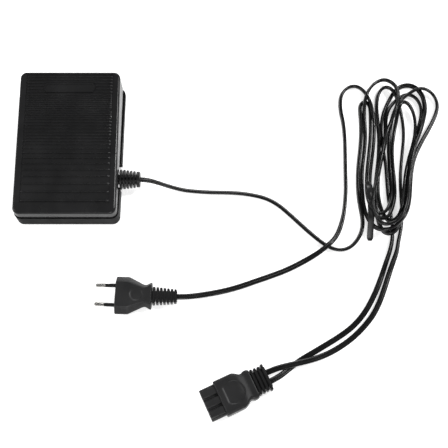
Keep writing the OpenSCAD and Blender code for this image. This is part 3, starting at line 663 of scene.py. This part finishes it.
def add_nose():
    """The connector's nose with its three open sockets."""
    insets = [(0, 0.6), (0.2, 0.2), (0.7, 0), (NOSE_L + 0.4, 0)]
    rings = [ring_at(x, nose_outline(inset)) for x, inset in insets]
    parts = [loft(rings, open_start=True)]
    turn = np.radians(np.arange(0, 360, 15))
    holes = [
        np.column_stack([i * SOCKET_SPACING + SOCKET_R * np.cos(turn), SOCKET_R * np.sin(turn)])
        for i in (-1, 0, 1)
    ]
    edges = [ring_at(0, loop) for loop in [nose_outline(0.6)] + holes]
    face = tessellate_polygon([[Vector(p) for p in loop] for loop in edges])
    parts.append((np.concatenate(edges), [tuple(f) for f in face]))
    for hole in holes:
        parts.append(loft([ring_at(x, hole[::-1]) for x in (0, SOCKET_L)], open_start=True))
    return add_moulding("connector_front", parts, CONNECTOR_AT, CONNECTOR_TURN, "plug_plastic",
                        "connector_nose", crease=30)


def connector_body():
    """The connector's body, narrow behind its blank panel."""
    front = [NOSE_L, NOSE_L + 0.3, NOSE_L + 1]
    along = np.concatenate([front, np.arange(15.5, 46.5, 0.6), [46.6, CONNECTOR_L]])
    wide = eased(profile(along, CONNECTOR_WIDE), 1)
    high = eased(profile(along, CONNECTOR_HIGH), 2)
    ends = profile(along, CONNECTOR_ENDS)
    rings = [
        ring_at(x, split_top(softened(box_corners(w - e, t - e), cut=3.4, steps=6), count=44))
        for x, w, t, e in zip(along, wide, high, ends)
    ]
    points, faces = loft(rings)
    in_circle = PANEL_R - np.hypot(points[:, 0] - PANEL_AT, points[:, 1])
    in_panel = np.minimum(in_circle, points[:, 0] - PANEL_FLAT)
    tops = np.interp(points[:, 0], along, high)
    press_in(points, tops, PANEL_DEPTH, smooth_step(in_panel / PANEL_SLOPE + 0.5))
    return points, faces


def connector_relief():
    """The connector's ribbed relief, wide enough for two cords."""
    pitch = 3.5
    ribs = [
        (pitch * i + 0.9, pitch * i + 3.1, half_w, half_t)
        for i, (half_w, half_t) in enumerate(CONNECTOR_RIBS)
    ]
    return ribbed(46.8, ribs, core=(9.3, 4.8), cut=1.6, length=14.3)


def add_connector():
    """The machine connector's body and its relief."""
    return [
        add_moulding("connector_moulding", [connector_body()], CONNECTOR_AT, CONNECTOR_TURN,
                     "plug_plastic", "connector_body"),
        add_moulding("connector_boot", [connector_relief()], CONNECTOR_AT, CONNECTOR_TURN,
                     "relief_pvc", "connector_relief"),
    ]


OUTLET = (0.0494, -0.0293, 0.012)  # where the gland leaves the pedal's side


def add_gland():
    """The ribbed strain relief at the pedal's outlet: discs on a tapering neck."""
    turn = np.radians(np.arange(0, 360, 9))
    circle = np.column_stack([np.cos(turn), np.sin(turn)])
    neck, collar, bevel = 4.8, 7.6, 0.35
    pitch, disc, disc_rim = 3.2, 0.9, 0.55
    shape = [(-7.9, 6.1), (-7.6, 6.5), (-6.8, 6.5), (-6.5, 6.1), (-6.5, neck)]
    for i in range(5):
        middle, radius = pitch * i + 0.4, 9.8 - 0.4 * i
        shape += [(middle - disc, neck), (middle - disc, radius - bevel)]
        shape += [(middle - disc_rim, radius), (middle + disc_rim, radius)]
        shape += [(middle + disc, radius - bevel), (middle + disc, neck)]
    shape += [(15.4, neck), (15.4, collar - bevel), (15.8, collar), (18.2, collar)]
    shape.append((18.6, collar - 0.5))
    rings = [ring_at(x, circle * r) for x, r in shape]
    return add_moulding("outlet_gland", [loft(rings)], OUTLET, 0, "relief_pvc", "strain_relief")


# ---- Springs ----


def coil(centre, radius, wire, length, turns):
    """A wound wire standing on its closed end coils."""
    steps = 28
    at = np.linspace(0, turns, turns * steps + 1)
    closed = 0.8
    rises = [(0, 0), (closed, wire), (turns - closed, length - 2 * wire), (turns, length - wire)]
    rise = profile(at, rises)
    turn = 2 * np.pi * at
    line = np.column_stack([radius * np.cos(turn), radius * np.sin(turn), wire / 2 + rise])
    around = np.radians(np.arange(0, 360, 36))
    section = wire / 2 * np.column_stack([np.cos(around), np.sin(around)])
    return swept(line + np.array(centre), np.zeros(len(line)), section)


def add_springs():
    """The two return springs and the plunger's spring."""
    base_z, guide_z = 0.0045, 0.0091
    points, faces = join([
        coil((x, 0.045, base_z), radius=0.0052, wire=0.0011, length=0.0297, turns=9)
        for x in (-0.030, 0.030)
    ])
    returns = add_mesh("return_coils", points, faces, "spring_steel", crease=60)
    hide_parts("return_springs")
    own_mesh(returns)
    points, faces = coil((0.005, 0.005, guide_z), radius=0.0022, wire=0.0006, length=0.0167,
                         turns=10)
    inner = add_mesh("plunger_coil", points, faces, "spring_steel", crease=60)
    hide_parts("plunger_spring")
    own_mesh(inner)


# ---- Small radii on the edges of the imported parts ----

WELD = 0.000005  # corners nearer than this are one
# How far each sharp edge is cut back
EDGES = {
    "treadle_cover": 0.00012,
    "base_tray": 0.00035,
    "rubber_feet": 0.0003,
    "hinge_clips": 0.00008,
    "capacitor": 0.0005,
    "heat_sink": 0.0002,
    "slider_guide": 0.0003,
    "terminal_block": 0.0003,
    "timing_capacitor": 0.0006,
    "trimmer": 0.0003,
    "triac": 0.0002,
    "cord_clamp": 0.0005,
    "travel_stops": 0.0004,
    "slider_plunger": 0.0003,
    "actuator_finger": 0.0003,
    "spring_cups": 0.0003,
    "pin_sleeves": 0.0001,
}


def soften_edges():
    """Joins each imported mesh's split corners, then rounds its sharp edges a little."""
    for name, node in frame["nodes"].items():
        weld = node.modifiers.new("weld", "WELD")
        weld.merge_threshold = WELD
        if name in EDGES:
            flat = node.modifiers.new("flat", "DECIMATE")
            flat.decimate_type = "DISSOLVE"
            flat.angle_limit = math.radians(1)
            bevel = node.modifiers.new("edges", "BEVEL")
            bevel.width = EDGES[name]
            bevel.segments = 2
            bevel.limit_method = "ANGLE"
            bevel.angle_limit = math.radians(28)
        smooth = node.modifiers.new("normals", "WEIGHTED_NORMAL")
        smooth.keep_sharp = True


plug_pieces = add_plug()
connector_pieces = [add_nose()] + add_connector()
gland = add_gland()
add_springs()
soften_edges()

# ---- Floor and light ----


def add_floor():
    """A plain white floor, lit enough to keep shadows faint."""
    mesh = bpy.data.meshes.new("floor")
    half = 3.0
    corners = [(-half, -half, 0), (half, -half, 0), (half, half, 0), (-half, half, 0)]
    mesh.from_pydata(corners, [], [(0, 1, 2, 3)])
    floor = bpy.data.objects.new("floor", mesh)
    bpy.context.scene.collection.objects.link(floor)
    material = bpy.data.materials.new("floor_white")
    material.use_nodes = True
    shader = material.node_tree.nodes["Principled BSDF"]
    shader.inputs["Base Color"].default_value = (0.92, 0.92, 0.92, 1)
    shader.inputs["Roughness"].default_value = 0.9
    shader.inputs["Specular IOR Level"].default_value = 0.1
    shader.inputs["Emission Color"].default_value = (1, 1, 1, 1)
    shader.inputs["Emission Strength"].default_value = 0.6
    mesh.materials.append(material)
    floor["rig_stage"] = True


def add_light(name, at, size, power):
    """A square softbox at a place, facing the middle of the object."""
    data = bpy.data.lights.new(name, "AREA")
    data.shape = "SQUARE"
    data.size = size
    data.energy = power
    light = bpy.data.objects.new(name, data)
    light.location = at
    aim = VIEW_MIDDLE - Vector(at)
    light.rotation_euler = aim.to_track_quat("-Z", "Y").to_euler()
    bpy.context.scene.collection.objects.link(light)


def add_world(strength):
    """Even white light from all round."""
    world = bpy.data.worlds.new("studio")
    world.use_nodes = True
    background = world.node_tree.nodes["Background"]
    background.inputs["Color"].default_value = (1, 1, 1, 1)
    background.inputs["Strength"].default_value = strength
    bpy.context.scene.world = world


add_floor()
# The right light is small and strong, for the glints on the ribs and cords.
add_light("right", (1.38, 0.50, 1.62), size=0.3, power=26)
add_light("left", (-1.60, -0.30, 1.40), size=0.9, power=20)
add_light("front", (0.3, -1.8, 1.15), size=0.8, power=18)
add_light("back", (0.2, 1.7, 1.0), size=0.7, power=18)
add_world(0.12)
bpy.context.scene.view_settings.view_transform = "Standard"

# ---- Finishes ----


class Finish:
    """A procedural material in the making: its nodes, and what each step adds."""

    def __init__(self, name):
        self.material = bpy.data.materials.new(name)
        self.material.use_nodes = True
        self.tree = self.material.node_tree
        self.shader = self.tree.nodes["Principled BSDF"]
        self.place = self.node("ShaderNodeTexCoord").outputs["Object"]
        self.normal = None

    def node(self, kind):
        """A new node in the material."""
        return self.tree.nodes.new(kind)

    def link(self, output, target):
        """Joins an output to an input."""
        self.tree.links.new(output, target)

    def noise(self, scale, detail, stretch=(1, 1, 1)):
        """Noise with that many grains a metre."""
        mapping = self.node("ShaderNodeMapping")
        mapping.inputs["Scale"].default_value = stretch
        self.link(self.place, mapping.inputs["Vector"])
        noise = self.node("ShaderNodeTexNoise")
        noise.inputs["Scale"].default_value = scale
        noise.inputs["Detail"].default_value = detail
        self.link(mapping.outputs["Vector"], noise.inputs["Vector"])
        return noise.outputs["Fac"]

    def colours(self, value, dark, light):
        """Base colour from dark to light by value."""
        ramp = self.node("ShaderNodeValToRGB")
        ramp.color_ramp.elements[0].position = 0.35
        ramp.color_ramp.elements[1].position = 0.7
        ramp.color_ramp.elements[0].color = (*dark, 1)
        ramp.color_ramp.elements[1].color = (*light, 1)
        self.link(value, ramp.inputs["Fac"])
        self.link(ramp.outputs["Color"], self.shader.inputs["Base Color"])

    def roughness(self, value, low, high, rough):
        """Roughness from rough[0] to rough[1], as value goes from low to high."""
        mapped = self.node("ShaderNodeMapRange")
        mapped.inputs["From Min"].default_value = low
        mapped.inputs["From Max"].default_value = high
        mapped.inputs["To Min"].default_value = rough[0]
        mapped.inputs["To Max"].default_value = rough[1]
        self.link(value, mapped.inputs["Value"])
        self.link(mapped.outputs["Result"], self.shader.inputs["Roughness"])

    def bump(self, height, depth):
        """Adds a bump of that depth in metres on top of the bumps so far."""
        bump = self.node("ShaderNodeBump")
        bump.inputs["Distance"].default_value = depth
        self.link(height, bump.inputs["Height"])
        if self.normal is not None:
            self.link(self.normal, bump.inputs["Normal"])
        self.normal = bump.outputs["Normal"]
        self.link(self.normal, self.shader.inputs["Normal"])


def shades(colour, spread):
    """A darker and a lighter colour around one."""
    return [tuple(min(1, c * k) for c in colour) for k in (1 - spread, 1 + spread)]


def plastic(name, colour, rough, grain=2500, depth=0.00001, ior=1.45):
    """Moulded plastic: fine grain, cloudy gloss and faint handling marks."""
    f = Finish(name)
    f.colours(f.noise(35, detail=6), *shades(colour, spread=0.2))
    f.roughness(f.noise(60, detail=5), low=0.35, high=0.65, rough=rough)
    f.bump(f.noise(grain, detail=2), depth)
    f.bump(f.noise(180, detail=4, stretch=(1, 6, 1)), depth * 1.5)
    f.shader.inputs["IOR"].default_value = ior
    return f.material


def black(name, level, rough, ior=1.33):
    """Soft black moulding compound, duller than a hard glossy plastic."""
    return plastic(name, (level, level, 1.03 * level), rough, ior=ior)


def metal(name, colour, rough=(0.2, 0.38), lay=(1, 1, 1)):
    """Bare or plated metal with a fine lay and dull patches."""
    f = Finish(name)
    f.colours(f.noise(90, detail=5), *shades(colour, spread=0.12))
    f.roughness(f.noise(400, detail=6, stretch=lay), low=0.3, high=0.7, rough=rough)
    f.bump(f.noise(900, detail=4, stretch=lay), depth=0.000008)
    f.shader.inputs["Metallic"].default_value = 1.0
    return f.material


FINISHES = {
    "treadle_plastic": lambda n: black(n, 0.015, (0.2, 0.3), 1.26),
    "base_plastic": lambda n: black(n, 0.007, (0.4, 0.5), 1.10),
    "foot_rubber": lambda n: plastic(n, (0.03, 0.03, 0.03), (0.7, 0.85), 1500, 0.00003),
    "relief_pvc": lambda n: black(n, 0.009, (0.34, 0.46)),
    "cord_pvc": lambda n: black(n, 0.006, (0.2, 0.3)),
    "tie_strap": lambda n: black(n, 0.009, (0.28, 0.4)),
    "plug_plastic": lambda n: black(n, 0.015, (0.38, 0.5)),
    "sleeve_plastic": lambda n: black(n, 0.007, (0.28, 0.38)),
    "nickel_plate": lambda n: metal(n, (0.5, 0.49, 0.47), (0.22, 0.34), (1, 8, 8)),
    "zinc_steel": lambda n: metal(n, (0.6, 0.61, 0.63)),
    "spring_steel": lambda n: metal(n, (0.5, 0.51, 0.53)),
    "contact_brass": lambda n: metal(n, (0.75, 0.58, 0.28)),
    "sink_aluminium": lambda n: metal(n, (0.75, 0.76, 0.77), (0.3, 0.45), (6, 1, 1)),
    "board_laminate": lambda n: plastic(n, (0.03, 0.14, 0.05), (0.25, 0.35)),
    "winding_copper": lambda n: metal(n, (0.62, 0.3, 0.14)),
    "ferrite": lambda n: plastic(n, (0.06, 0.06, 0.065), (0.5, 0.7)),
    "capacitor_yellow": lambda n: plastic(n, (0.6, 0.42, 0.05), (0.25, 0.4)),
    "capacitor_red": lambda n: plastic(n, (0.35, 0.06, 0.04), (0.2, 0.3)),
    "resistor_body": lambda n: plastic(n, (0.62, 0.48, 0.3), (0.3, 0.4)),
    "diac_body": lambda n: plastic(n, (0.06, 0.16, 0.45), (0.2, 0.3)),
    "trimmer_blue": lambda n: plastic(n, (0.05, 0.13, 0.4), (0.3, 0.4)),
    "trimmer_white": lambda n: plastic(n, (0.8, 0.8, 0.76), (0.3, 0.4)),
    "epoxy_black": lambda n: plastic(n, (0.03, 0.03, 0.032), (0.4, 0.5)),
    "phenolic": lambda n: plastic(n, (0.05, 0.052, 0.056), (0.35, 0.5)),
    "track_ceramic": lambda n: plastic(n, (0.78, 0.76, 0.7), (0.4, 0.55)),
    "terminal_plastic": lambda n: plastic(n, (0.12, 0.2, 0.15), (0.4, 0.5)),
    "nylon": lambda n: plastic(n, (0.75, 0.73, 0.66), (0.4, 0.55)),
    "core_insulation": lambda n: plastic(n, (0.2, 0.1, 0.05), (0.3, 0.4)),
}


def add_finishes():
    """Every piece gets the finish of its slot."""
    made = {slot: make(slot) for slot, make in FINISHES.items()}
    slots = {part["node"]: part["material_slot"] for part in frame["record"]["subparts"]}
    for name, node in frame["nodes"].items():
        node.data.materials.clear()
        node.data.materials.append(made[slots[name]])
    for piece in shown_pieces():
        if "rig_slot" in piece and piece.name not in slots:
            piece.data.materials.clear()
            piece.data.materials.append(made[piece["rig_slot"]])


add_finishes()
